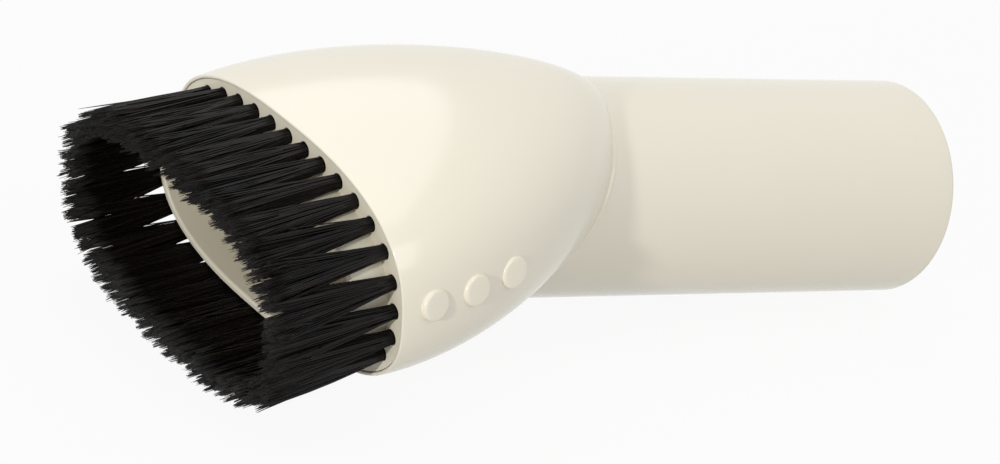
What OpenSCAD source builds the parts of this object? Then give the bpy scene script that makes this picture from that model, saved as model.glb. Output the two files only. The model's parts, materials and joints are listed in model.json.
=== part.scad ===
// Vacuum dusting brush: an egg-shaped hollow head on a straight wand socket, with an oval ring of
// stapled bristle tufts pressed into its mouth. Millimetres, +Z up. The brush lies as it comes to
// rest, on the lower edge of its open socket end (at +X) and on its lowest bristle tips (at -X).
// The neck frame has its origin at the centre of the open end, its X axis out of that end.
// The mouth frame has its origin at the centre of the mouth, Z out of the mouth and X across it.

/* [Neck and wand socket] */
// Bore of the socket that a wand pushes into
socket_d = 32.2; // [30:0.1:33]
// Wall of the neck round its socket
neck_wall = 2.4; // [2:0.1:3]
// Rounding of the neck's open end, on the outside
neck_edge = 0.9; // [0.3:0.1:1.2]
// Depth of the socket, from the open end to its stop
socket_depth = 52; // [40:1:58]
// Length of the lead-in chamfer at the socket's mouth
socket_lead = 0.8; // [0.3:0.1:1.5]
// How far the socket's stop stands in from its bore, where the air duct starts
stop_step = 2.3; // [1.5:0.1:3]

/* [Head] */
// Distance along the neck's axis from its open end to the centre of the mouth
mouth_reach = 127.3; // [124:0.1:134]
// How far the centre of the mouth lies below the neck's axis
mouth_drop = 6.4; // [5:0.1:8]
// Angle by which the mouth looks down from the neck's axis
mouth_bend = 16; // [12:0.5:20]
// Width of the mouth over its lip
mouth_w = 69.6; // [64:0.2:74]
// Height of the mouth over its lip
mouth_h = 38; // [36:0.2:42]
// Squareness of the mouth's oval, where 2 is an ellipse
mouth_square = 2.6; // [2.2:0.1:3]
// Squareness of the head's section at its tail
tail_square = 1.9; // [1.8:0.1:2.2]
// Length of the head from its mouth to its tail, inside the neck
head_len = 61.5; // [60:0.1:66]
// How much fuller each side is at mid length than a plain egg
side_full = 2.7; // [1:0.1:3.5]
// How much fuller the crown and the underside are at mid length than a plain egg
crown_full = 3; // [2:0.1:5]
// Curve of the egg's profile along its length
egg_taper = 1.24; // [1.15:0.01:1.5]
// Roundness of the tail, seen from above
side_round = 2.12; // [1.9:0.01:2.3]
// Roundness of the tail, seen from the side
crown_round = 3.6; // [2.8:0.1:4]
// Wall of the head
head_wall = 3; // [2.6:0.1:3.4]
// Wall of the lip round the mouth
lip_wall = 0.6; // [0.5:0.1:1]
// Rounding of the lip's outer edge
lip_edge = 0.25; // [0.1:0.05:0.4]

/* [Details on the body] */
// Radius of the fine raised line where the head runs into the neck
seam_r = 0.35; // [0.25:0.05:0.5]
// Angle from the top at which that line fades out
seam_start = 14; // [10:1:25]
// Diameter of a grip dot on the side of the head
dot_d = 5.4; // [4.5:0.1:6.2]
// Height of a grip dot's flat top over the skin at its middle
dot_h = 0.7; // [0.6:0.1:1.2]
// Rounding of a grip dot's rim
dot_edge = 0.4; // [0.2:0.05:0.5]
// Spacing of the grip dots along the head
dot_pitch = 8.4; // [7.4:0.1:9.4]
// Number of grip dots on each side
dot_count = 3; // [1:1:4]
// Distance of the first grip dot from the mouth
dot_start = 6; // [5:0.1:10]
// How far the first grip dot lies above the middle of the mouth
dot_high = 1.05; // [0:0.05:2]
// Angle by which the line of dots falls towards the neck
dot_fall = 2.5; // [0:0.5:5]
// Angle by which a grip dot's top looks up
dot_up = 8; // [0:1:12]
// Angle by which a grip dot's top looks towards the neck
dot_back = 10; // [4:1:16]

/* [Bristle ring] */
// Depth of the seat in the mouth that the ring pushes into
seat_depth = 6.5; // [6:0.1:8]
// How far the ring's face lies below the lip
ring_recess = 0.3; // [0.2:0.1:1]
// Clearance between the ring and the lip
ring_fit = 0.1; // [0.05:0.01:0.15]
// Distance from the lip's wall to the middle of the tufts
tuft_line = 2.4; // [2:0.1:3]
// Clearance between the tufts' holes and the collar
collar_gap = 0.35; // [0.2:0.05:0.6]
// Wall of the collar
collar_wall = 1.4; // [1:0.1:2]
// How far the collar stands out past the lip
collar_proud = 6; // [3:0.5:8]

/* [Bristle tufts] */
// Number of tufts round the ring
tuft_count = 32; // [30:2:32]
// How far the bristles stand out past the lip
tuft_len = 23.4; // [20:0.2:26]
// Diameter of a tuft in its hole
root_d = 2.5; // [2.1:0.1:2.7]
// Clearance round a tuft in its hole
root_fit = 0.1; // [0.05:0.01:0.15]
// Depth of a tuft's hole below the ring's face
hole_depth = 4.5; // [4:0.1:5]
// Thickness of a tuft at its tip, across the ring
tip_thick = 3.4; // [2.6:0.1:3.8]
// Distance from the lip at which a tuft has fanned out to its full width
fan_height = 11; // [8:0.5:14]
// Clearance between neighbouring tufts at their full width
tuft_gap = 0.25; // [0.15:0.05:0.5]
// How uneven the bristles are at a tuft's tip
tip_ragged = 1.6; // [0.5:0.1:2.2]

/* [Tuft anchors] */
// Thickness of an anchor plate
anchor_t = 0.3; // [0.2:0.05:0.4]
// Length of an anchor plate, along the ring
anchor_len = 3.2; // [2.9:0.1:3.6]
// Depth of an anchor plate, along the hole
anchor_depth = 1.4; // [1:0.1:2]
// Distance of an anchor plate from the bottom of its hole
anchor_lift = 0.5; // [0.3:0.1:0.8]

/* [Hidden] */
oval_sides = 56;
head_rings = 15;
seam_steps = 44;
seam_sides = 6;
seam_halvings = 30;
dot_sides = 32;
tuft_sides = 12;
tuft_rings = 7;
path_steps = 240;
round_sides = 96;

socket_r = socket_d / 2;
neck_r = socket_r + neck_wall;
duct_r = socket_r - stop_step;
half_w = mouth_w / 2;
half_h = mouth_h / 2;
mouth_at = [-mouth_reach, 0, -mouth_drop];
root_r = root_d / 2;
hole_r = root_r + root_fit;
tuft_inset = lip_wall + tuft_line;
collar_inset = tuft_inset + hole_r + collar_gap;
hole_bottom = -ring_recess - hole_depth;
tail_rise = 1.35;
tail_end = 0.998;
overcut = 1;
// The neck runs on inside the head to here, past the place where the egg's underside meets it
neck_front = mouth_reach - 0.44 * head_len;

// Names of the tufts, counted round the ring from the top
function two_digits(n) = str(n < 10 ? "0" : "", n);
TUFTS = [for (k = [1:tuft_count]) str("tuft_", two_digits(k))];

// A point of a squared oval, as an angle goes round it
function bow(v, square) = sign(v) * pow(abs(v), 2 / square);
function oval_point(a, b, square, t) = [a * bow(cos(t), square), b * bow(sin(t), square)];
function oval(a, b, square) =
    [for (i = [0:oval_sides - 1]) oval_point(a, b, square, 360 * i / oval_sides)];

// From the mouth frame to the neck frame, and back
function to_neck(p) = mouth_at + [
    -p.z * cos(mouth_bend) - p.y * sin(mouth_bend),
    -p.x,
    -p.z * sin(mouth_bend) + p.y * cos(mouth_bend)];
function to_mouth(q) = let (d = q - mouth_at) [
    -d.y,
    -d.x * sin(mouth_bend) + d.z * cos(mouth_bend),
    -d.x * cos(mouth_bend) - d.z * sin(mouth_bend)];

// The egg's half width and half height at a share s of its length, for a wall taken off outside
function bulge(s) = 4 * s * (1 - s);
function closing(s, roundness) = pow(max(1 - pow(s, egg_taper), 0), 1 / roundness);
function egg_w(s, wall) = closing(s, side_round) * (half_w - wall + side_full * bulge(s));
function egg_h(s, wall) = closing(s, crown_round) * (half_h - wall + crown_full * bulge(s));
function egg_square(s) = mouth_square + (tail_square - mouth_square) * s;
function egg_ring(s, wall, trim) = [for (p = oval(egg_w(s, wall) - trim, egg_h(s, wall) - trim,
    egg_square(s))) [p.x, p.y + tail_rise * s * s, -s * (head_len - wall)]];

// Faces of a skin over rings that follow each other along +Z, open at its last ring
function sleeve_faces(rings, n) = concat(
    [[for (j = [0:n - 1]) j]],
    [for (i = [0:rings - 2], j = [0:n - 1]) [i * n + j, (i + 1) * n + j, (i + 1) * n + (j + 1) % n]],
    [for (i = [0:rings - 2], j = [0:n - 1]) [i * n + j, (i + 1) * n + (j + 1) % n, i * n + (j + 1) % n]]);
// The same skin closed by its last ring's own flat face, or by a fan to one more point after it
function skin_faces(rings, n) =
    concat(sleeve_faces(rings, n), [[for (j = [n - 1:-1:0]) (rings - 1) * n + j]]);
function crowned_faces(rings, n) = concat(sleeve_faces(rings, n),
    [for (j = [0:n - 1]) [(rings - 1) * n + (j + 1) % n, (rings - 1) * n + j, rings * n]]);

// The egg as a solid in the mouth frame, with its tail first
module egg(wall) {
    shares = [for (i = [0:head_rings - 1]) tail_end * sin(90 * (1 - i / (head_rings - 1)))];
    edge_share = lip_edge / head_len;
    rings = concat(
        [for (s = shares) if (s > 2 * edge_share) egg_ring(s, wall, 0)],
        [egg_ring(edge_share, wall, 0)],
        [egg_ring(0, wall, lip_edge)]);
    polyhedron([for (r = rings) each r], skin_faces(len(rings), oval_sides));
}

// Where the egg's skin meets the neck's, at an angle from the top of the neck
function egg_reach(p) = let (s = -p.z / head_len) s <= 0 || s >= tail_end ? 2 :
    pow(abs(p.x) / egg_w(s, 0), egg_square(s))
    + pow(abs(p.y - tail_rise * s * s) / egg_h(s, 0), egg_square(s));
function on_neck(x, phi) = [x, -neck_r * sin(phi), neck_r * cos(phi)];
function meet_x(phi, x_in, x_out, steps) = let (x = (x_in + x_out) / 2) steps == 0 ? x :
    egg_reach(to_mouth(on_neck(x, phi))) < 1 ? meet_x(phi, x, x_out, steps - 1)
    : meet_x(phi, x_in, x, steps - 1);
function seam_point(phi) = on_neck(meet_x(phi, -neck_front, head_len - mouth_reach, seam_halvings), phi);

// The fine raised line: a thin tube along that meeting, thinner towards its two ends
module seam_line() {
    sweep = 360 - 2 * seam_start;
    rings = [for (i = [0:seam_steps]) let (
        phi = seam_start + sweep * i / seam_steps,
        p = seam_point(phi),
        t = unit(seam_point(phi + 1) - seam_point(phi - 1)),
        out = [0, -sin(phi), cos(phi)],
        b = cross(t, out),
        end = min(i, seam_steps - i) / seam_steps,
        r = seam_r * min(1, 0.3 + 9 * end))
        [for (j = [0:seam_sides - 1]) let (turn = 360 * (j + 0.5) / seam_sides)
            p + r * (b * cos(turn) - cross(b, t) * sin(turn))]];
    polyhedron([for (r = rings) each r], skin_faces(len(rings), seam_sides));
}

function unit(v) = v / norm(v);

module at_mouth() {
    translate(mouth_at) rotate([0, -mouth_bend, 0]) rotate([90, 0, -90]) children();
}

module along_x() {
    rotate([0, 90, 0]) children();
}

// The straight outside of the neck, rounded at its open end
module neck_outside() {
    arc = [for (a = [90:-15:0]) [neck_r - neck_edge + neck_edge * cos(a), -neck_edge + neck_edge * sin(a)]];
    along_x() rotate_extrude($fn = round_sides)
        polygon(concat([[0, -neck_front], [0, 0]], arc, [[neck_r, -neck_front]]));
}

// The wand socket with its lead-in, and the air duct behind its stop
module neck_inside() {
    along_x() translate([0, 0, -socket_depth])
        cylinder(r = socket_r, h = socket_depth + overcut, $fn = round_sides);
    along_x() translate([0, 0, -socket_lead])
        cylinder(r1 = socket_r, r2 = socket_r + socket_lead, h = socket_lead, $fn = round_sides);
    along_x() translate([0, 0, -neck_front - overcut])
        cylinder(r = duct_r, h = neck_front + overcut - socket_depth + overcut, $fn = round_sides);
}

// A low round button with a flat top on the head's side, its foot half way down the head's wall
module grip_dot(distance, side) {
    dot_r = dot_d / 2;
    arc = [for (a = [0:30:90]) [dot_r - dot_edge + dot_edge * cos(a), dot_h - dot_edge + dot_edge * sin(a)]];
    high = dot_high - (distance - dot_start) * tan(dot_fall);
    translate([side * egg_w(distance / head_len, 0), high, -distance])
        rotate([-dot_up, side * (90 + dot_back), 0]) rotate_extrude($fn = dot_sides)
            polygon(concat([[0, -head_wall / 2], [dot_r, -head_wall / 2]], arc, [[0, dot_h]]));
}

// Neck and head, moulded in one: the hollow egg, the socket and the seat for the bristle ring
module body() {
    color("#EFE8D6") resting() difference() {
        union() {
            neck_outside();
            at_mouth() egg(0);
            seam_line();
            at_mouth() for (i = [0:dot_count - 1], side = [-1, 1])
                grip_dot(dot_start + i * dot_pitch, side);
        }
        at_mouth() intersection() {
            egg(head_wall);
            translate([0, 0, -head_len - seat_depth]) linear_extrude(head_len)
                square(2 * mouth_w, center = true);
        }
        at_mouth() translate([0, 0, -seat_depth - overcut / 4]) linear_extrude(seat_depth + overcut)
            mouth_oval(lip_wall);
        neck_inside();
    }
}

// The mouth's oval, drawn in by a distance
module mouth_oval(inset) {
    polygon(oval(half_w - inset, half_h - inset, mouth_square));
}

// The path that the tufts follow round the ring, and distances along it, from the top
function path_point(t) = oval_point(half_w - tuft_inset, half_h - tuft_inset, mouth_square, t);
path = [for (i = [0:path_steps]) path_point(90 + 360 * i / path_steps)];
function run(i, sum) = i > path_steps ? [] :
    concat([[sum, i]], run(i + 1, sum + norm(path[min(i + 1, path_steps)] - path[i])));
path_run = run(0, 0);
pitch = path_run[path_steps][0] / tuft_count;
function tuft_turn(k) = 90 + 360 * lookup((k + tuft_count) % tuft_count * pitch, path_run) / path_steps;
function tuft_at(k) = path_point(tuft_turn(k));
function tuft_along(k) = unit(path_point(tuft_turn(k) + 1) - path_point(tuft_turn(k) - 1));
function tuft_out(k) = let (t = tuft_along(k)) [t.y, -t.x];

module at_tuft(k) {
    t = tuft_along(k);
    translate([tuft_at(k).x, tuft_at(k).y, 0]) rotate([0, 0, atan2(t.y, t.x)]) children();
}

// The oval ring that carries the tufts, with its collar round the air inlet
module bristle_ring() {
    color("#E8E0CC") resting() at_mouth() difference() {
        translate([0, 0, -seat_depth]) union() {
            linear_extrude(seat_depth - ring_recess) mouth_oval(lip_wall + ring_fit);
            linear_extrude(seat_depth + collar_proud) mouth_oval(collar_inset);
        }
        translate([0, 0, -seat_depth - overcut]) linear_extrude(seat_depth + collar_proud + 2 * overcut)
            mouth_oval(collar_inset + collar_wall);
        for (k = [0:tuft_count - 1]) at_tuft(k) {
            translate([0, 0, hole_bottom]) cylinder(r = hole_r, h = hole_depth + overcut, $fn = 24);
            anchor_plate();
        }
    }
}

// A flat metal plate that holds a doubled tuft down in its hole
module anchor_plate() {
    translate([-anchor_len / 2, -anchor_t / 2, hole_bottom + anchor_lift])
        cube([anchor_len, anchor_t, anchor_depth]);
}

module tuft_anchors() {
    color("#B9A15E") resting() at_mouth() for (k = [0:tuft_count - 1]) at_tuft(k) anchor_plate();
}

// How uneven each point of a tuft's tip is, the same on both sides of the brush
function tip_dip(k, j) = let (
    twin = (tuft_count - k) % tuft_count,
    mirrored = (tuft_sides + tuft_sides / 2 - j) % tuft_sides)
    rands(0, 1, tuft_sides, min(k, twin))[k < twin ? j : k > twin ? mirrored : min(j, mirrored)];

// The room that a tuft has beside its neighbours
function tuft_room(k) = min([for (step = [-1, 1]) norm(tuft_at(k + step) - tuft_at(k))]);

// A tuft's rings in the mouth frame: round in its hole, then fanned out along the ring
function tuft_ring(k, i) = let (
    share = max(i - 1, 0) / (tuft_rings - 2),
    h = i == 0 ? hole_bottom : -ring_recess + (tuft_len + ring_recess) * share,
    fan = min(1, (h + ring_recess) / (fan_height + ring_recess)),
    spread = i == 0 ? 0 : fan * fan * (3 - 2 * fan),
    a = root_r + ((tuft_room(k) - tuft_gap) / 2 - root_r) * spread,
    b = root_r + (tip_thick / 2 - root_r) * share)
    [for (j = [0:tuft_sides - 1]) let (
        turn = 360 * j / tuft_sides,
        q = tuft_at(k) + tuft_along(k) * a * cos(turn) - tuft_out(k) * b * sin(turn),
        dip = i == tuft_rings - 1 ? tip_ragged * tip_dip(k, j) : 0)
        [q.x, q.y, h - dip]];

// One tuft of bristles
module tuft(k) {
    rings = [for (i = [0:tuft_rings - 1]) tuft_ring(k, i)];
    crown = [tuft_at(k).x, tuft_at(k).y, tuft_len - tip_ragged];
    color("#15110F") resting() at_mouth() difference() {
        polyhedron([for (r = rings) each r, crown], crowned_faces(tuft_rings, tuft_sides));
        at_tuft(k) anchor_plate();
    }
}

// The slope of the floor under the neck's rounded end and the lowest tips, in the neck frame
edge_at = [-neck_edge, neck_edge - neck_r];
tips = [for (k = [0:tuft_count - 1]) for (p = tuft_ring(k, tuft_rings - 1)) let (q = to_neck(p)) [q.x, q.z]];
rest_turn = max([for (p = tips) let (d = edge_at - p) atan2(d.y, d.x) - asin(neck_edge / norm(d))]);
function rest_x(p) = p.x * cos(rest_turn) + p.y * sin(rest_turn);
function rest_z(p) = -p.x * sin(rest_turn) + p.y * cos(rest_turn);
floor_z = rest_z(edge_at) - neck_edge;
tip_end = min([for (p = tips) rest_x(p)]);
neck_end = rest_x([-neck_edge, neck_r - neck_edge]) + neck_edge;

// The brush at rest, with the middle of its box over the origin
module resting() {
    translate([-(tip_end + neck_end) / 2, 0, -floor_z]) rotate([0, rest_turn, 0]) children();
}

body();
bristle_ring();
tuft_anchors();
for (k = [0:tuft_count - 1]) tuft(k);
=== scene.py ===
"""Vacuum dusting brush: its moulded body, bristle ring and bristles, modelled round the packed frame."""

import json
import math

import bpy
import numpy as np
from bpy.props import FloatProperty, FloatVectorProperty, IntProperty, PointerProperty, StringProperty
from bpy.types import Operator, Panel, PropertyGroup
from mathutils import Matrix, Vector


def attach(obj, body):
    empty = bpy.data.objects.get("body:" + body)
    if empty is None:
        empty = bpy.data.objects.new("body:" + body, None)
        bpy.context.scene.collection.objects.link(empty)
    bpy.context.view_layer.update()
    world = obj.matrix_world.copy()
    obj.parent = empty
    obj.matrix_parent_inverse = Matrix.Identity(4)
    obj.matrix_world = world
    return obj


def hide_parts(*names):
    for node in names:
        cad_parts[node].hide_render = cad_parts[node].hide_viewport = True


bl_info = {
    "name": "Vacuum dusting brush",
    "version": (1, 0, 0),
    "blender": (4, 5, 0),
    "location": "3D View > Sidebar > Dusting Brush",
    "description": "Models an egg-headed vacuum dusting brush with an oval ring of bristle tufts",
    "category": "Object",
}

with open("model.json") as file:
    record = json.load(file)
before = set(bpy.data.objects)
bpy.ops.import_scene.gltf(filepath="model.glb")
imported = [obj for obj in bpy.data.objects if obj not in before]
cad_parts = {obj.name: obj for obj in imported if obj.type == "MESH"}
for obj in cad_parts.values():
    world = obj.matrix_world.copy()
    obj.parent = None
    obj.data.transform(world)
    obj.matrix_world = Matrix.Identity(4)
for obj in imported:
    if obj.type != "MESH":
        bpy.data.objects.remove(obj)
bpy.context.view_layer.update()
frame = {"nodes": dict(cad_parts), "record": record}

# The wand socket's mount gives the neck's axis, and this is how far its middle lies inside the open end
SOCKET = next(mount for mount in frame["record"]["mounts"] if mount["name"] == "wand_socket")
SOCKET_MIDDLE = 0.0264
# The egg is modelled up to this share of its length, just short of the tail's tip inside the neck
TAIL = 0.9985
# Sides of the head's and the ring's ovals, and of what is turned about the neck's axis
OVAL_SIDES = 144
NECK_SIDES = 160


def length(name, description, default):
    """A length in metres that a user can change."""
    return FloatProperty(name=name, description=description, default=default, unit="LENGTH", precision=5)


def angle(name, description, degrees):
    """An angle that a user can change."""
    return FloatProperty(
        name=name, description=description, default=math.radians(degrees), unit="ROTATION")


def factor(name, description, default):
    """A plain number that a user can change."""
    return FloatProperty(name=name, description=description, default=default, precision=4)


def vector(name, description, default):
    """A point or a direction that a user can change."""
    return FloatVectorProperty(
        name=name, description=description, size=3, default=default, subtype="XYZ", precision=5)


def colour(name, description, default):
    """A colour as an sRGB hex value that a user can change."""
    return StringProperty(name=name, description=description, default=default)


class NeckSizes(PropertyGroup):
    """The straight neck and its wand socket."""

    socket_bore: length("Socket bore", "Bore that a wand pushes into", 0.0322)
    wall: length("Wall", "Wall of the neck round its socket", 0.0024)
    edge: length("Edge", "Rounding of the open end on the outside", 0.0009)
    socket_depth: length("Socket depth", "From the open end to the stop", 0.052)
    lead_in: length("Lead-in", "Chamfer at the socket's mouth", 0.0008)
    stop_step: length("Stop", "How far the socket's stop stands in from its bore", 0.0023)


class HeadSizes(PropertyGroup):
    """The hollow egg-shaped head."""

    reach: length("Reach", "Along the neck's axis from its open end to the mouth's centre", 0.1273)
    drop: length("Drop", "How far the mouth's centre lies below the neck's axis", 0.0064)
    bend: angle("Bend", "How far the mouth looks down from the neck's axis", 16)
    mouth_width: length("Mouth width", "Over the lip", 0.0696)
    mouth_height: length("Mouth height", "Over the lip", 0.038)
    mouth_square: factor("Mouth squareness", "2 is an ellipse", 2.6)
    tail_square: factor("Tail squareness", "2 is an ellipse", 1.9)
    length: length("Length", "From the mouth to the tail inside the neck", 0.0615)
    tail_rise: length("Tail rise", "How far the tail lies above the mouth's axis", 0.00135)
    side_fullness: length("Side fullness", "How much fuller each side is than a plain egg", 0.0027)
    crown_fullness: length("Crown fullness", "How much fuller the crown is than a plain egg", 0.003)
    taper: factor("Taper", "Curve of the profile along the length", 1.24)
    side_round: factor("Side roundness", "Of the tail, from above", 2.12)
    crown_round: factor("Crown roundness", "Of the tail, from the side", 3.6)
    wall: length("Wall", "Wall of the head", 0.003)
    lip_wall: length("Lip wall", "Wall of the lip round the mouth", 0.0006)
    lip_edge: length("Lip edge", "Rounding of the lip's two edges", 0.00025)
    seam_radius: length("Seam radius", "Fine raised line where the head runs into the neck", 0.0006)
    seam_start: angle("Seam start", "Angle from the top at which the line fades out", 14)
    dot_count: IntProperty(name="Grip dots", description="Dots on each side", default=3)
    dot_diameter: length("Dot diameter", "Diameter of a grip dot", 0.0054)
    dot_height: length("Dot height", "Of a dot's flat top over the skin at its middle", 0.0007)
    dot_edge: length("Dot edge", "Rounding of a grip dot's rim", 0.0006)
    dot_pitch: length("Dot pitch", "Spacing of the grip dots", 0.0084)
    dot_start: length("First dot", "From the mouth to the first grip dot", 0.006)
    dot_high: length("Dots above", "From the middle of the mouth up to the first dot", 0.00105)
    dot_fall: angle("Dot fall", "Angle by which the line of dots falls towards the neck", 2.5)
    dot_up: angle("Dots up", "Angle by which a dot's top looks up", 8)
    dot_back: angle("Dots back", "Angle by which a dot's top looks towards the neck", 10)


class RingSizes(PropertyGroup):
    """The oval ring that carries the tufts."""

    seat_depth: length("Seat depth", "How deep the ring sits in the mouth", 0.0065)
    recess: length("Recess", "How far the ring's face lies below the lip", 0.0003)
    fit: length("Fit", "Clearance between the ring and the lip", 0.0001)
    tuft_line: length("Tuft line", "From the lip to the middle of the tufts", 0.0024)
    collar_gap: length("Collar gap", "Between the tufts' holes and the collar", 0.00035)
    collar_wall: length("Collar wall", "Wall of the collar", 0.0014)
    collar_proud: length("Collar height", "How far the collar stands out past the lip", 0.006)
    collar_edge: length("Collar edge", "Rounding of the collar's rim", 0.0005)


class BristleSizes(PropertyGroup):
    """The tufts and their single bristles."""

    tufts: IntProperty(name="Tufts", description="Tufts round the ring", default=32)
    bristles: IntProperty(name="Bristles", description="Bristles in a tuft", default=380)
    clumps: IntProperty(name="Clumps", description="Points that a tuft's tip gathers into", default=34)
    diameter: length("Bristle diameter", "Diameter of one bristle", 0.00026)
    free_length: length("Free length", "How far the bristles stand out past the lip", 0.0234)
    root_diameter: length("Root diameter", "Diameter of a tuft in its hole", 0.0025)
    root_fit: length("Root fit", "Clearance round a tuft in its hole", 0.0001)
    hole_depth: length("Hole depth", "Below the ring's face", 0.0045)
    tip_thickness: length("Tip thickness", "Of a tuft at its tip, across the ring", 0.0034)
    tip_width: factor("Tip width", "Half width of a tuft's tip along the ring, in steps between tufts", 0.66)
    clump_pull: factor("Clump pull", "How far bristles gather into their clump, up to 1", 0.55)
    slant_along: length("Slant along", "How far clumps lean along the ring", 0.0006)
    slant_out: length("Slant out", "How far clumps lean across the ring", 0.0004)
    scatter_along: length("Scatter along", "How far single tips lie apart along the ring", 0.00016)
    scatter_out: length("Scatter out", "How far single tips lie apart across the ring", 0.00014)
    ragged: length("Ragged", "How much shorter some clumps are", 0.0012)
    uneven: length("Uneven", "How much shorter some single bristles are", 0.0005)
    stray_share: factor("Strays", "Share of the bristles that stand off", 0.03)
    stray_along: length("Stray along", "How far strays stand off along the ring", 0.0016)
    stray_out: length("Stray out", "How far strays stand off across the ring", 0.0014)
    stray_short: length("Stray short", "How much shorter a stray may be", 0.0012)
    stray_long: length("Stray long", "How much longer a stray may be", 0.0008)
    bow: length("Bow", "How far bristles bend half way", 0.00015)
    tip_share: factor("Tip share", "Thickness of a bristle's end as a share of its middle", 0.3)
    seed: IntProperty(name="Seed", description="Start of the random draws of the first tuft", default=1000)


class FinishColours(PropertyGroup):
    """Colours as sRGB hex values."""

    shell: colour("Shell", "Cream moulded ABS", "#EFE8D6")
    shell_warm: colour("Shell, warmer", "Slight drift of the moulded colour", "#EDE5D1")
    ring: colour("Ring", "Cream polypropylene", "#E6DEC9")
    bristle_dark: colour("Bristle, dark", "Near-black dyed nylon", "#0A0807")
    bristle_brown: colour("Bristle, brown", "Brown cast of the lighter bristles", "#1F1814")
    wire: colour("Wire", "Drawn brass", "#C9A75A")
    floor: colour("Floor", "Pale studio floor", "#D0D0CE")


class StageSettings(PropertyGroup):
    """Camera and light."""

    camera_place: FloatVectorProperty(
        name="Camera place", description="Where the photograph was taken from", size=3,
        default=(-0.456494, -0.54386, 0.319526), subtype="TRANSLATION", unit="LENGTH", precision=5)
    camera_turn: FloatVectorProperty(
        name="Camera turn", description="XYZ rotation of the camera", size=3,
        default=tuple(math.radians(degrees) for degrees in (66.2406, -11.5062, -34.5358)),
        subtype="EULER", unit="ROTATION", precision=4)
    camera_lens: FloatProperty(name="Lens", description="Focal length in millimetres", default=166.129)
    key_power: factor("Key power", "Watts of the low key lamp", 6.0)
    key_from: vector("Key direction", "From the brush to the key lamp", (-0.91, -0.376, 0.18))
    key_aim: vector("Key aim", "Point that the key lamp looks at", (-0.03, 0, 0.03))
    key_distance: length("Key distance", "From the aim to the key lamp", 1.2)
    key_size: length("Key size", "Side of the key lamp", 0.06)
    ceiling_power: factor("Ceiling power", "Watts of the softbox overhead", 3.0)
    ceiling_place: vector("Ceiling place", "Middle of the softbox overhead", (0.14, 0.5, 0.8))
    ceiling_turn: angle("Ceiling turn", "Turn of the softbox overhead about the upright", -21.5)
    ceiling_width: length("Ceiling width", "Width of the softbox overhead", 0.56)
    ceiling_length: length("Ceiling length", "Length of the softbox overhead", 1.42)
    front_power: factor("Front power", "Watts of the softbox in front", 1.3)
    front_from: vector("Front direction", "From the brush to the softbox in front", (0.1, -0.8, 0.6))
    front_distance: length("Front distance", "From the brush to the softbox in front", 1.0)
    front_size: length("Front size", "Side of the softbox in front", 0.5)
    fill_level: factor("Fill level", "Strength of the pale room", 0.57)
    floor_white: factor("Floor white", "Share of plain white in the floor that the camera sees", 0.93)


def deselect():
    bpy.ops.object.select_all(action="DESELECT")


def make_active(piece):
    """Selects one piece alone and makes it the active one."""
    deselect()
    piece.select_set(True)
    bpy.context.view_layer.objects.active = piece


def close_up(piece):
    """Turns all faces of a closed piece outwards."""
    make_active(piece)
    bpy.ops.object.mode_set(mode="EDIT")
    bpy.ops.mesh.select_all(action="SELECT")
    bpy.ops.mesh.normals_make_consistent(inside=False)
    bpy.ops.object.mode_set(mode="OBJECT")


def extruded_rings(name, sides, rings, looped=False):
    """A unit circle extruded upwards ring by ring, capped, or bridged from its last ring to its first."""
    deselect()
    bpy.ops.mesh.primitive_circle_add(
        vertices=sides, radius=1, fill_type="NOTHING" if looped else "NGON")
    piece = bpy.context.object
    piece.name = name
    bpy.ops.object.mode_set(mode="EDIT")
    bpy.ops.mesh.select_all(action="SELECT")
    for _ in range(rings - 1):
        bpy.ops.mesh.extrude_region_move(TRANSFORM_OT_translate={"value": (0, 0, 1)})
    if looped:
        bpy.ops.mesh.select_all(action="DESELECT")
        bpy.ops.mesh.select_non_manifold()
        bpy.ops.mesh.bridge_edge_loops()
    bpy.ops.object.mode_set(mode="OBJECT")
    return piece


def lofted(name, sides, rings, place, looped=False):
    """Extruded rings whose points then go to place(ring, turn)."""
    piece = extruded_rings(name, sides, rings, looped)
    for vertex in piece.data.vertices:
        turn = math.atan2(vertex.co.y, vertex.co.x)
        vertex.co = place(round(vertex.co.z), turn)
    close_up(piece)
    return piece


def combine(piece, tool, operation):
    """Adds the tool to the piece, or cuts it away, and removes the tool."""
    make_active(piece)
    bpy.ops.object.modifier_add(type="BOOLEAN")
    cut = piece.modifiers[-1]
    cut.operation = operation
    cut.solver = "EXACT"
    cut.object = tool
    bpy.ops.object.modifier_apply(modifier=cut.name)
    bpy.data.objects.remove(tool, do_unlink=True)


def settle(piece, matrix):
    """Puts a piece modelled in its own frame into the row frame, its place in its mesh."""
    make_active(piece)
    piece.matrix_world = matrix
    bpy.ops.object.transform_apply(location=True, rotation=True, scale=True)


def smooth(piece, degrees):
    """Shades a piece smooth but for edges that bend by more than so many degrees."""
    make_active(piece)
    bpy.ops.object.shade_smooth_by_angle(angle=math.radians(degrees))


def finish_piece(piece, material, slot, *nodes):
    """Gives a piece its finish, hangs it under the root body and hides the CAD nodes that it stands for."""
    piece.data.materials.clear()
    piece.data.materials.append(material)
    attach(piece, "root")
    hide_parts(*nodes)


def neck_frame():
    """The neck's frame: its origin at the centre of the open end, its X axis out of that end."""
    axis = Vector(SOCKET["axis"]).normalized()
    across = Vector((0, 1, 0))
    turn = Matrix((axis, across, axis.cross(across))).transposed().to_4x4()
    return Matrix.Translation(Vector(SOCKET["pos_m"]) + axis * SOCKET_MIDDLE) @ turn


def mouth_in_neck(head):
    """The mouth's frame in the neck's: Z out of the mouth, X across it."""
    bend = head.bend
    turn = Matrix((
        (0, -math.sin(bend), -math.cos(bend)),
        (-1, 0, 0),
        (0, math.cos(bend), -math.sin(bend)))).to_4x4()
    return Matrix.Translation((-head.reach, 0, -head.drop)) @ turn


def neck_radius(neck):
    """The neck's outer radius."""
    return neck.socket_bore / 2 + neck.wall


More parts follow.
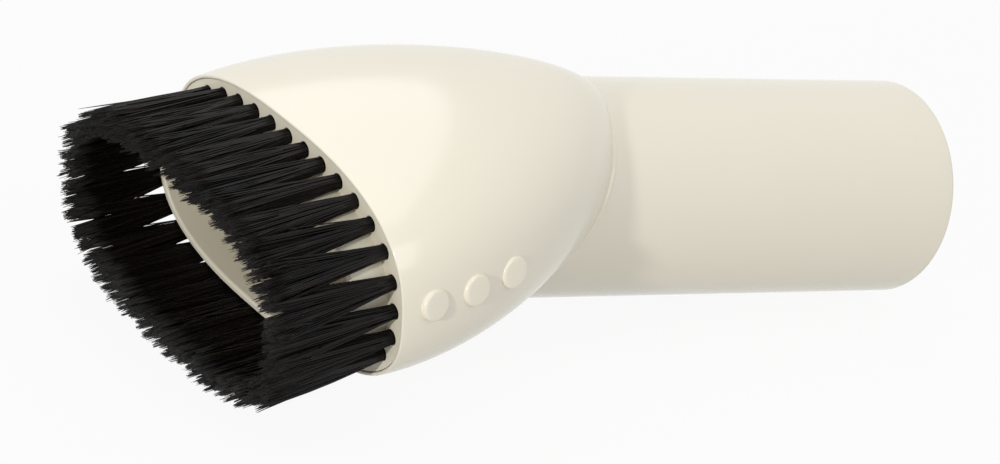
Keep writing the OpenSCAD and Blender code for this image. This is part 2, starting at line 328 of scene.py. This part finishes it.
def quarter(step):
    """The angles of a quarter turn in steps of so many degrees, without its start."""
    return [math.radians(degrees) for degrees in range(step, 91, step)]


def bow(value, square):
    """A sine or cosine bent from a circle's towards a square's."""
    return math.copysign(abs(value) ** (2 / square), value)


def oval_point(half_width, half_height, square, turn):
    """A point of an oval at a turn from its right end."""
    return half_width * bow(math.cos(turn), square), half_height * bow(math.sin(turn), square)


def closing(head, share, roundness):
    """How a profile closes towards the tail, from 1 at the mouth to 0."""
    return max(1 - share ** head.taper, 0) ** (1 / roundness)


def egg_halves(head, share, wall):
    """Half width and half height of the egg at a share of its length, a wall inside its skin."""
    bulge = 4 * share * (1 - share)
    wide = head.mouth_width / 2 - wall + head.side_fullness * bulge
    high = head.mouth_height / 2 - wall + head.crown_fullness * bulge
    return wide * closing(head, share, head.side_round), high * closing(head, share, head.crown_round)


def egg_square(head, share):
    """Squareness of the egg's section at a share of its length."""
    return head.mouth_square + (head.tail_square - head.mouth_square) * share


def egg_point(head, share, wall, trim, turn):
    """A point of the egg's skin in the mouth's frame."""
    wide, high = egg_halves(head, share, wall)
    x, y = oval_point(wide - trim, high - trim, egg_square(head, share), turn)
    return Vector((x, y + head.tail_rise * share * share, -share * (head.length - wall)))


def egg_shares(front, count):
    """Shares of the egg's length from its tail to its front, closer together at the tail."""
    steps = [math.sin(math.pi / 2 * (1 - i / (count - 1))) for i in range(count)]
    return [front + (TAIL - front) * step for step in steps]


def head_cavity(head, ring):
    """The head's hollow, from its tail to the floor of the ring's seat."""
    front = ring.seat_depth / (head.length - head.wall)
    shares = egg_shares(front, 26)
    sides = 96
    return lofted(
        "cavity", sides, len(shares), lambda step, turn: egg_point(head, shares[step], head.wall, 0, turn))


def egg_outside(head):
    """The whole egg with its lip's outer edge rounded."""
    edge = head.lip_edge
    # The egg's own rings stay clear of the lip's rounding
    clear = 1.6 * edge / head.length
    rows = [(share, 0, -share * head.length) for share in egg_shares(0, 52) if share > clear]
    rows += [(0, edge * (1 - math.cos(a)), edge * (math.sin(a) - 1)) for a in [0] + quarter(15)]

    def place(ring, turn):
        share, trim, height = rows[ring]
        point = egg_point(head, share, 0, trim, turn)
        return Vector((point.x, point.y, height))

    return lofted("body_shell", OVAL_SIDES, len(rows), place)


def oval_sweep(name, head, rows, looped=False):
    """A section carried round the mouth's oval, from rows of (inset from the lip's outside, height)."""

    def place(row, turn):
        inset, height = rows[row]
        x, y = oval_point(
            head.mouth_width / 2 - inset, head.mouth_height / 2 - inset, head.mouth_square, turn)
        return Vector((x, y, height))

    return lofted(name, OVAL_SIDES, len(rows), place, looped)


def mouth_plug(head, ring):
    """What the seat in the mouth is cut with, flared where it rounds the lip's inner edge."""
    wall = head.lip_wall
    edge = head.lip_edge
    # The plug reaches a little into the cavity behind it, so no skin stays between the two
    into_cavity = 0.00025
    above_lip = edge * 3
    rows = [(wall, -ring.seat_depth - into_cavity), (wall, -edge)]
    rows += [(wall - edge * (1 - math.cos(a)), -edge + edge * math.sin(a)) for a in quarter(15)]
    rows.append((wall - edge, above_lip))
    return oval_sweep("mouth_plug", head, rows)


def turned(name, rows):
    """A shape turned about the neck's axis, from rows of (distance along it, radius)."""

    def place(row, turn):
        along, radius = rows[row]
        return Vector((along, radius * math.sin(turn), radius * math.cos(turn)))

    return lofted(name, NECK_SIDES, len(rows), place)


def neck_front(head):
    """From the neck's open end to where the neck ends inside the head."""
    clear_share = 0.44
    return head.reach - clear_share * head.length


def neck_outside(neck, head):
    """The neck's outside, its open end rounded."""
    radius = neck_radius(neck)
    edge = neck.edge
    start = -neck_front(head)
    count = 44
    rows = [(start + (-edge - start) * i / count, radius) for i in range(count + 1)]
    rows += [(edge * (math.sin(a) - 1), radius - edge * (1 - math.cos(a))) for a in quarter(10)]
    return turned("neck_outside", rows)


def neck_bore(neck, head):
    """The socket with its lead-in and its stop, and the duct past it."""
    socket = neck.socket_bore / 2
    duct = socket - neck.stop_step
    # The stop's inner edge is broken, and the cut runs past both ends of the neck
    broken_along = 0.0004
    broken_out = 0.0003
    past = 0.001
    rows = [
        (-neck_front(head) - past, duct),
        (-neck.socket_depth - broken_along, duct),
        (-neck.socket_depth, duct + broken_out),
        (-neck.socket_depth, socket),
        (-neck.lead_in, socket),
        (0, socket + neck.lead_in),
        (past, socket + neck.lead_in + past),
    ]
    return turned("neck_bore", rows)


def egg_reach(head, point):
    """Under 1 inside the egg and over 1 outside it, for a point in the mouth's frame."""
    share = -point.z / head.length
    outside = 2
    if share <= 0 or share >= TAIL:
        return outside
    wide, high = egg_halves(head, share, 0)
    square = egg_square(head, share)
    above = point.y - head.tail_rise * share * share
    return abs(point.x / wide) ** square + abs(above / high) ** square


def seam_line(neck, head):
    """The fine raised line along the meeting of egg and neck, thinner towards its two ends."""
    to_mouth = mouth_in_neck(head).inverted()
    radius = neck_radius(neck)
    sides = 12
    steps = 220
    halvings = 40
    nudge = math.radians(0.5)
    # Thickness at the very ends, and how fast it grows: to the full radius over an eighth of the line
    end_share = 0.15
    growth = 7
    sweep = 2 * math.pi - 2 * head.seam_start

    def on_neck(along, phi):
        return Vector((along, -radius * math.sin(phi), radius * math.cos(phi)))

    def meeting(phi):
        inside, outside = -neck_front(head), head.length - head.reach
        for _ in range(halvings):
            middle = (inside + outside) / 2
            if egg_reach(head, to_mouth @ on_neck(middle, phi)) < 1:
                inside = middle
            else:
                outside = middle
        return on_neck(inside, phi)

    def place(ring, turn):
        phi = head.seam_start + sweep * ring / (steps - 1)
        run = (meeting(phi + nudge) - meeting(phi - nudge)).normalized()
        out = Vector((0, -math.sin(phi), math.cos(phi)))
        side = run.cross(out).normalized()
        lift = side.cross(run)
        from_end = min(ring, steps - 1 - ring) / steps
        thick = head.seam_radius * min(1, end_share + growth * from_end)
        return meeting(phi) + (side * math.cos(turn) + lift * math.sin(turn)) * thick

    return lofted("seam_line", sides, steps, place)


def grip_dot(head, distance, side):
    """A low round button with a flat top, its foot half way down the head's wall."""
    sides = 64
    radius = head.dot_diameter / 2
    edge = head.dot_edge
    top = head.dot_height
    rows = [(radius, -head.wall / 2), (radius, top - edge)]
    rows += [(radius - edge * (1 - math.cos(a)), top - edge * (1 - math.sin(a))) for a in quarter(15)]
    rows.append((radius / 3, top))

    def place(row, turn):
        reach, height = rows[row]
        return Vector((reach * math.cos(turn), reach * math.sin(turn), height))

    dot = lofted("grip_dot", sides, len(rows), place)
    wide = egg_halves(head, distance / head.length, 0)[0]
    high = head.dot_high - (distance - head.dot_start) * math.tan(head.dot_fall)
    sideways = Matrix.Rotation(side * (math.pi / 2 + head.dot_back), 4, "Y")
    upwards = Matrix.Rotation(-head.dot_up, 4, "X")
    settle(dot, Matrix.Translation((side * wide, high, -distance)) @ sideways @ upwards)
    return dot


class Path:
    """The oval line that the tufts stand on, with equal steps along it from the top."""

    def __init__(self, head, ring, tufts):
        inset = head.lip_wall + ring.tuft_line
        self.half_width = head.mouth_width / 2 - inset
        self.half_height = head.mouth_height / 2 - inset
        self.square = head.mouth_square
        self.tufts = tufts
        marks = 721
        turns = np.linspace(math.pi / 2, math.pi * 5 / 2, marks)
        points = np.array([self.point(turn) for turn in turns])
        steps = np.hypot(*np.diff(points, axis=0).T)
        self.turns = turns
        self.run = np.concatenate([[0], np.cumsum(steps)])
        self.pitch = self.run[-1] / tufts

    def point(self, turn):
        return oval_point(self.half_width, self.half_height, self.square, turn)

    def tuft(self, k):
        """Place, direction along the ring and direction outwards of a tuft."""
        turn = np.interp(k % self.tufts * self.pitch, self.run, self.turns)
        nudge = math.radians(1)
        along = (Vector(self.point(turn + nudge)) - Vector(self.point(turn - nudge))).normalized()
        return Vector(self.point(turn)), along, Vector((along.y, -along.x))


def collar_inset(head, ring, bristles):
    """From the lip's outside to the collar's, with the tufts' holes between them."""
    hole_radius = bristles.root_diameter / 2 + bristles.root_fit
    return head.lip_wall + ring.tuft_line + hole_radius + ring.collar_gap


def ring_moulding(head, ring, bristles):
    """The ring's section, swept round its oval: a flat face with a thin round-rimmed collar inside it."""
    outer = head.lip_wall + ring.fit
    collar = collar_inset(head, ring, bristles)
    inner = collar + ring.collar_wall
    edge = ring.collar_edge
    rim = ring.collar_proud
    arc = quarter(15)
    rows = [
        (outer, -ring.seat_depth),
        (outer, -ring.recess),
        (collar, -ring.recess),
        (collar, rim - edge),
    ]
    rows += [(collar + edge * (1 - math.cos(a)), rim - edge * (1 - math.sin(a))) for a in arc]
    rows += [(inner - edge * (1 - math.cos(a)), rim - edge * (1 - math.sin(a))) for a in reversed(arc)]
    rows += [(inner, rim - edge), (inner, -ring.seat_depth)]
    return oval_sweep("ring_moulding", head, rows, looped=True)


def tuft_holes(head, ring, bristles):
    """The round holes that the tufts are stapled into."""
    path = Path(head, ring, bristles.tufts)
    sides = 24
    above_face = 0.001
    radius = bristles.root_diameter / 2 + bristles.root_fit
    depth = bristles.hole_depth + above_face
    deselect()
    drills = []
    for k in range(bristles.tufts):
        place, _, _ = path.tuft(k)
        bpy.ops.mesh.primitive_cylinder_add(
            vertices=sides, radius=radius, depth=depth,
            location=(place.x, place.y, above_face - ring.recess - depth / 2))
        drills.append(bpy.context.object)
    for drill in drills:
        drill.select_set(True)
    bpy.ops.object.join()
    bpy.ops.object.transform_apply(location=True, rotation=True, scale=True)
    return bpy.context.object


def sheaf(bristles):
    """As many plain straight bristles as a tuft has, side by side, and each point's ring and turn."""
    sides = 3
    rings = 7
    strand = extruded_rings("sheaf", sides, rings)
    marks = [(round(vertex.co.z), math.atan2(vertex.co.y, vertex.co.x)) for vertex in strand.data.vertices]
    bpy.ops.object.modifier_add(type="ARRAY")
    repeat = strand.modifiers[-1]
    repeat.count = bristles.bristles
    bpy.ops.object.modifier_apply(modifier=repeat.name)
    return strand, np.array(marks), rings


def tuft_spread(rng, bristles, pitch):
    """Where each bristle stands in its hole, in shares of the hole's radius, and where its tip ends."""
    count, clumps = bristles.bristles, bristles.clumps
    spot = np.sqrt(rng.random(count))
    heading = rng.random(count) * 2 * math.pi
    u, v = spot * np.cos(heading), spot * np.sin(heading)
    # Bristles gather into the clump that ends nearest to them, so the tips end in small spikes
    centre = np.sqrt(rng.random(clumps))
    bearing = rng.random(clumps) * 2 * math.pi
    clump_u, clump_v = centre * np.cos(bearing), centre * np.sin(bearing)
    nearest = np.argmin((u[:, None] - clump_u) ** 2 + (v[:, None] - clump_v) ** 2, axis=1)
    tip_u = u + (clump_u[nearest] - u) * bristles.clump_pull
    tip_v = v + (clump_v[nearest] - v) * bristles.clump_pull
    # The round tuft spreads to an even oblong at its tip, so neighbours close up into one row
    chord = np.sqrt(np.clip(1 - tip_u ** 2, 0.05, 1))
    tip_v = np.clip(tip_v / chord, -1, 1)
    tip_u = (np.arcsin(np.clip(tip_u, -1, 1)) + tip_u * chord) * 2 / math.pi
    slant_along = rng.normal(0, bristles.slant_along, clumps)[nearest]
    slant_out = rng.normal(0, bristles.slant_out, clumps)[nearest]
    tip_along = tip_u * pitch * bristles.tip_width + slant_along
    tip_along += rng.normal(0, bristles.scatter_along, count)
    tip_out = tip_v * bristles.tip_thickness / 2 + slant_out
    tip_out += rng.normal(0, bristles.scatter_out, count)
    tip_high = bristles.free_length - np.abs(rng.normal(0, bristles.ragged, clumps))[nearest]
    tip_high -= np.abs(rng.normal(0, bristles.uneven, count))
    stray = rng.random(count) < bristles.stray_share
    tip_along += stray * rng.uniform(-bristles.stray_along, bristles.stray_along, count)
    tip_out += stray * rng.uniform(-bristles.stray_out, bristles.stray_out, count)
    tip_high += stray * rng.uniform(-bristles.stray_short, bristles.stray_long, count)
    return u, v, tip_along, tip_out, tip_high


def comb(piece, marks, rings, head, ring, bristles, path, k, to_row):
    """Bends the bristles of one tuft: tight in the hole, fanned along the ring, ragged at the tip."""
    rng = np.random.default_rng(bristles.seed + k)
    count = bristles.bristles
    place, along, out = path.tuft(k)
    radius = bristles.diameter / 2
    u, v, tip_along, tip_out, tip_high = tuft_spread(rng, bristles, path.pitch)
    root = bristles.root_diameter / 2 - radius
    bow_along = rng.normal(0, bristles.bow, count)
    bow_out = rng.normal(0, bristles.bow, count)
    # The first level is the bottom of the hole, and the others go from the ring's face to the tip
    buried = -bristles.hole_depth / (bristles.free_length + ring.recess)
    levels = np.concatenate([[buried], np.linspace(0, 1, rings - 1)])
    level_index = marks[:, 0].astype(int)
    level = levels[level_index]
    free = np.clip(level, 0, 1)
    curve = 4 * free * (1 - free)
    # Bristles keep close together just above the hole and then fan out in nearly straight lines
    late = 0.1
    fan = free * (1 - late + late * free)
    thick = radius * np.where(level_index == rings - 1, bristles.tip_share, 1.0)
    sideways = (root * u)[:, None] + (tip_along - root * u)[:, None] * fan + bow_along[:, None] * curve
    sideways += thick * np.cos(marks[:, 1])
    outwards = (root * v)[:, None] + (tip_out - root * v)[:, None] * free + bow_out[:, None] * curve
    outwards += thick * np.sin(marks[:, 1])
    upwards = -ring.recess + (tip_high + ring.recess)[:, None] * free
    upwards = np.where(level < 0, -ring.recess - bristles.hole_depth, upwards)

    points = np.empty((count, len(marks), 3))
    for axis in (0, 1):
        points[:, :, axis] = place[axis] + sideways * along[axis] + outwards * out[axis]
    points[:, :, 2] = upwards
    points = points.reshape(-1, 3) @ np.array(to_row.to_3x3()).T + np.array(to_row.translation)
    # No bristle goes through the floor
    floor_gap = 0.00003
    points[:, 2] = np.maximum(points[:, 2], floor_gap)
    piece.data.vertices.foreach_set("co", points.astype(np.float32).ravel())
    piece.data.update()
    tone = piece.data.attributes.new("tone", "FLOAT", "POINT")
    tone.data.foreach_set("value", np.repeat(rng.random(count), len(marks)).astype(np.float32))


def linear(text):
    """An sRGB hex value as linear RGBA."""
    channels = [int(text[i:i + 2], 16) / 255 for i in (1, 3, 5)]
    return [c / 12.92 if c <= 0.04045 else ((c + 0.055) / 1.055) ** 2.4 for c in channels] + [1]


def add_node(tree, kind, inputs=None, links=None, **settings):
    """Adds a node, its settings, its input values and the links that come into it."""
    node = tree.nodes.new(kind)
    for name, value in settings.items():
        setattr(node, name, value)
    for name, value in (inputs or {}).items():
        node.inputs[name].default_value = value
    for name, socket in (links or {}).items():
        tree.links.new(socket, node.inputs[name])
    return node


def blank_material(name):
    """A material with an empty node tree, and that tree."""
    material = bpy.data.materials.new(name)
    material.use_nodes = True
    material.node_tree.nodes.clear()
    return material, material.node_tree


def moulded_plastic(name, base, warm, roughness, ior):
    """Moulded plastic: one even colour that drifts by a hair, and a faint soft mould texture."""
    material, tree = blank_material(name)
    place = add_node(tree, "ShaderNodeTexCoord").outputs["Object"]
    # Colour drifts over about 25 mm
    drift = add_node(tree, "ShaderNodeTexNoise", {"Scale": 40, "Detail": 2}, {"Vector": place})
    mixed = add_node(
        tree, "ShaderNodeMix", {"A": linear(base), "B": linear(warm)},
        {"Factor": drift.outputs["Fac"]}, data_type="RGBA")
    # Fine mould texture with grains of about 0.5 mm, hardly deeper than the gloss can show
    grain = add_node(tree, "ShaderNodeTexNoise", {"Scale": 2000, "Detail": 2}, {"Vector": place})
    bump = add_node(
        tree, "ShaderNodeBump", {"Strength": 0.04, "Distance": 0.00002}, {"Height": grain.outputs["Fac"]})
    shader = add_node(
        tree, "ShaderNodeBsdfPrincipled", {"Roughness": roughness, "IOR": ior},
        {"Base Color": mixed.outputs["Result"], "Normal": bump.outputs["Normal"]})
    add_node(tree, "ShaderNodeOutputMaterial", links={"Surface": shader.outputs["BSDF"]})
    return material


def bristle_nylon(colours):
    """Extruded and dyed nylon: near-black with a soft sheen, and some bristles that show a brown cast."""
    material, tree = blank_material("Dyed nylon bristle, extruded")
    tone = add_node(tree, "ShaderNodeAttribute", attribute_name="tone")
    ramp = add_node(tree, "ShaderNodeValToRGB", links={"Fac": tone.outputs["Fac"]})
    # Half of the bristles are plain near-black, and the others go more and more to the brown cast
    dark, brown = ramp.color_ramp.elements
    dark.position = 0.5
    dark.color = linear(colours.bristle_dark)
    brown.position = 1.0
    brown.color = linear(colours.bristle_brown)
    shader = add_node(
        tree, "ShaderNodeBsdfPrincipled", {"Roughness": 0.4, "IOR": 1.53, "Specular IOR Level": 0.22},
        {"Base Color": ramp.outputs["Color"]})
    add_node(tree, "ShaderNodeOutputMaterial", links={"Surface": shader.outputs["BSDF"]})
    return material


def drawn_brass(colours):
    """Drawn flat brass wire, cut to short plates: a metal whose roughness varies in fine grains."""
    material, tree = blank_material("Drawn brass wire")
    place = add_node(tree, "ShaderNodeTexCoord").outputs["Object"]
    lines = add_node(tree, "ShaderNodeTexNoise", {"Scale": 4000, "Detail": 1}, {"Vector": place})
    rough = add_node(
        tree, "ShaderNodeMapRange", {"To Min": 0.28, "To Max": 0.4}, {"Value": lines.outputs["Fac"]})
    shader = add_node(
        tree, "ShaderNodeBsdfPrincipled", {"Base Color": linear(colours.wire), "Metallic": 1},
        {"Roughness": rough.outputs["Result"]})
    add_node(tree, "ShaderNodeOutputMaterial", links={"Surface": shader.outputs["BSDF"]})
    return material


def seen_directly(tree):
    """1 for rays that show the background: from the camera, a reflection or through glass."""
    path = add_node(tree, "ShaderNodeLightPath")
    pair = add_node(
        tree, "ShaderNodeMath", links={0: path.outputs["Is Camera Ray"], 1: path.outputs["Is Glossy Ray"]},
        operation="MAXIMUM")
    both = add_node(
        tree, "ShaderNodeMath", links={0: pair.outputs[0], 1: path.outputs["Is Transmission Ray"]},
        operation="MAXIMUM")
    return both.outputs[0]


def studio_floor(colours, white_share):
    """Pale matt floor that looks white and keeps a faint shadow."""
    material, tree = blank_material("Matt white studio floor")
    matt = add_node(tree, "ShaderNodeBsdfDiffuse", {"Color": linear(colours.floor)})
    white = add_node(tree, "ShaderNodeEmission", {"Color": (1, 1, 1, 1), "Strength": 1})
    share = add_node(
        tree, "ShaderNodeMath", {1: white_share}, {0: seen_directly(tree)}, operation="MULTIPLY")
    mixed = add_node(tree, "ShaderNodeMixShader", links={
        0: share.outputs[0], 1: matt.outputs[0], 2: white.outputs[0]})
    add_node(tree, "ShaderNodeOutputMaterial", links={"Surface": mixed.outputs[0]})
    return material


def white_room(level):
    """A room that looks white and lights the brush evenly at a lower level."""
    world = bpy.data.worlds.new("White room")
    bpy.context.scene.world = world
    world.use_nodes = True
    tree = world.node_tree
    tree.nodes.clear()
    room = add_node(tree, "ShaderNodeBackground", {"Color": (0.96, 0.98, 1, 1), "Strength": level})
    white = add_node(tree, "ShaderNodeBackground", {"Color": (1, 1, 1, 1), "Strength": 1})
    mixed = add_node(tree, "ShaderNodeMixShader", links={
        0: seen_directly(tree), 1: room.outputs[0], 2: white.outputs[0]})
    add_node(tree, "ShaderNodeOutputWorld", links={"Surface": mixed.outputs[0]})


def softbox(name, place, turn, width, height, power):
    """A rectangular studio softbox that shines down, and is then turned."""
    bpy.ops.object.light_add(type="AREA", location=place, rotation=turn)
    lamp = bpy.context.object
    lamp.name = name
    lamp.data.shape = "RECTANGLE"
    lamp.data.size = width
    lamp.data.size_y = height
    lamp.data.energy = power


def facing(direction):
    """The turn of a softbox that stands in a direction from what it lights."""
    return direction.to_track_quat("Z", "Y").to_euler()


class BRUSH_OT_body(Operator):
    """Models neck and head as one hollow moulding with its seam line and grip dots"""

    bl_idname = "brush.body"
    bl_label = "Body"
    bl_options = {"REGISTER", "UNDO"}

    def execute(self, context):
        neck, head, ring = context.scene.brush_neck, context.scene.brush_head, context.scene.brush_ring
        to_mouth = mouth_in_neck(head)
        shell = egg_outside(head)
        for side in (-1, 1):
            for i in range(head.dot_count):
                combine(shell, grip_dot(head, head.dot_start + i * head.dot_pitch, side), "UNION")
        settle(shell, to_mouth)
        combine(shell, neck_outside(neck, head), "UNION")
        combine(shell, seam_line(neck, head), "UNION")
        for tool in (head_cavity(head, ring), mouth_plug(head, ring)):
            settle(tool, to_mouth)
            combine(shell, tool, "DIFFERENCE")
        combine(shell, neck_bore(neck, head), "DIFFERENCE")
        settle(shell, neck_frame())
        smooth(shell, degrees=22)
        colours = context.scene.brush_colours
        plastic = moulded_plastic(
            "Moulded ABS, semi-gloss", colours.shell, colours.shell_warm, roughness=0.15, ior=1.54)
        finish_piece(shell, plastic, "moulded_shell", "body")
        return {"FINISHED"}


class BRUSH_OT_ring(Operator):
    """Models the oval ring with its collar and the holes for the tufts"""

    bl_idname = "brush.ring"
    bl_label = "Bristle ring"
    bl_options = {"REGISTER", "UNDO"}

    def execute(self, context):
        scene = context.scene
        sizes = scene.brush_head, scene.brush_ring, scene.brush_bristles
        ring = ring_moulding(*sizes)
        combine(ring, tuft_holes(*sizes), "DIFFERENCE")
        settle(ring, neck_frame() @ mouth_in_neck(scene.brush_head))
        smooth(ring, degrees=30)
        colours = scene.brush_colours
        plastic = moulded_plastic(
            "Moulded polypropylene, satin", colours.ring, colours.ring, roughness=0.4, ior=1.49)
        finish_piece(ring, plastic, "moulded_ring", "bristle_ring")
        return {"FINISHED"}


class BRUSH_OT_bristles(Operator):
    """Models each tuft as single bristles that fan out of their hole"""

    bl_idname = "brush.bristles"
    bl_label = "Bristles"
    bl_options = {"REGISTER", "UNDO"}

    def execute(self, context):
        scene = context.scene
        head, ring, bristles = scene.brush_head, scene.brush_ring, scene.brush_bristles
        path = Path(head, ring, bristles.tufts)
        to_row = neck_frame() @ mouth_in_neck(head)
        nylon = bristle_nylon(scene.brush_colours)
        pattern, marks, rings = sheaf(bristles)
        for k in range(bristles.tufts):
            make_active(pattern)
            bpy.ops.object.duplicate()
            tuft = context.object
            tuft.name = f"bristles_{k + 1:02d}"
            comb(tuft, marks, rings, head, ring, bristles, path, k, to_row)
            bpy.ops.object.shade_smooth()
            finish_piece(tuft, nylon, "bristle", f"tuft_{k + 1:02d}")
        bpy.data.objects.remove(pattern, do_unlink=True)
        return {"FINISHED"}


class BRUSH_OT_anchors(Operator):
    """Gives the anchor plates of the CAD model their brass finish"""

    bl_idname = "brush.anchors"
    bl_label = "Tuft anchors"
    bl_options = {"REGISTER", "UNDO"}

    def execute(self, context):
        anchors = frame["nodes"]["tuft_anchors"]
        anchors.data.materials.clear()
        anchors.data.materials.append(drawn_brass(context.scene.brush_colours))
        return {"FINISHED"}


class BRUSH_OT_stage(Operator):
    """Sets the floor, the room, the lamps and the camera"""

    bl_idname = "brush.stage"
    bl_label = "Stage"
    bl_options = {"REGISTER", "UNDO"}

    def execute(self, context):
        scene = context.scene
        settings = scene.brush_stage
        deselect()
        bpy.ops.mesh.primitive_plane_add(size=12, location=(0, 0, 0))
        floor = context.object
        floor.name = "floor"
        floor.data.materials.append(studio_floor(scene.brush_colours, settings.floor_white))
        white_room(settings.fill_level)
        # The key stands low on the mouth's side and throws the head's shadow on the neck
        key_from = Vector(settings.key_from).normalized()
        softbox(
            "key", Vector(settings.key_aim) + key_from * settings.key_distance, facing(key_from),
            settings.key_size, settings.key_size, settings.key_power)
        # The edge of the gloss on top of the head is the right edge of the softbox overhead
        softbox(
            "ceiling", settings.ceiling_place, (0, 0, settings.ceiling_turn),
            settings.ceiling_width, settings.ceiling_length, settings.ceiling_power)
        # The softbox in front lights the side of the neck and the head that the camera sees
        front_from = Vector(settings.front_from).normalized()
        softbox(
            "front", front_from * settings.front_distance, facing(front_from),
            settings.front_size, settings.front_size, settings.front_power)
        bpy.ops.object.camera_add(location=settings.camera_place, rotation=settings.camera_turn)
        camera = context.object
        camera.data.lens = settings.camera_lens
        camera.data.sensor_width = 36
        camera.data.sensor_fit = "HORIZONTAL"
        camera.data.clip_start = 0.01
        camera.data.clip_end = 50
        scene.camera = camera
        scene.view_settings.view_transform = "Standard"
        return {"FINISHED"}


OPERATORS = (BRUSH_OT_body, BRUSH_OT_ring, BRUSH_OT_bristles, BRUSH_OT_anchors, BRUSH_OT_stage)
GROUPS = {
    "brush_neck": NeckSizes,
    "brush_head": HeadSizes,
    "brush_ring": RingSizes,
    "brush_bristles": BristleSizes,
    "brush_colours": FinishColours,
    "brush_stage": StageSettings,
}


class BRUSH_PT_panel(Panel):
    """Lists the brush's pieces and their sizes in the sidebar"""

    bl_idname = "BRUSH_PT_panel"
    bl_label = "Dusting Brush"
    bl_space_type = "VIEW_3D"
    bl_region_type = "UI"
    bl_category = "Dusting Brush"

    def draw(self, context):
        for operator in OPERATORS:
            self.layout.operator(operator.bl_idname)
        for name, group in GROUPS.items():
            box = self.layout.box()
            box.label(text=group.__doc__)
            values = getattr(context.scene, name)
            for key in group.__annotations__:
                box.prop(values, key)


def register():
    for name, group in GROUPS.items():
        bpy.utils.register_class(group)
        setattr(bpy.types.Scene, name, PointerProperty(type=group))
    for operator in OPERATORS:
        bpy.utils.register_class(operator)
    bpy.utils.register_class(BRUSH_PT_panel)


def unregister():
    bpy.utils.unregister_class(BRUSH_PT_panel)
    for operator in reversed(OPERATORS):
        bpy.utils.unregister_class(operator)
    for name, group in GROUPS.items():
        delattr(bpy.types.Scene, name)
        bpy.utils.unregister_class(group)


def main():
    register()
    bpy.ops.brush.body()
    bpy.ops.brush.ring()
    bpy.ops.brush.bristles()
    bpy.ops.brush.anchors()
    bpy.ops.brush.stage()


if __name__ == "__main__":
    main()
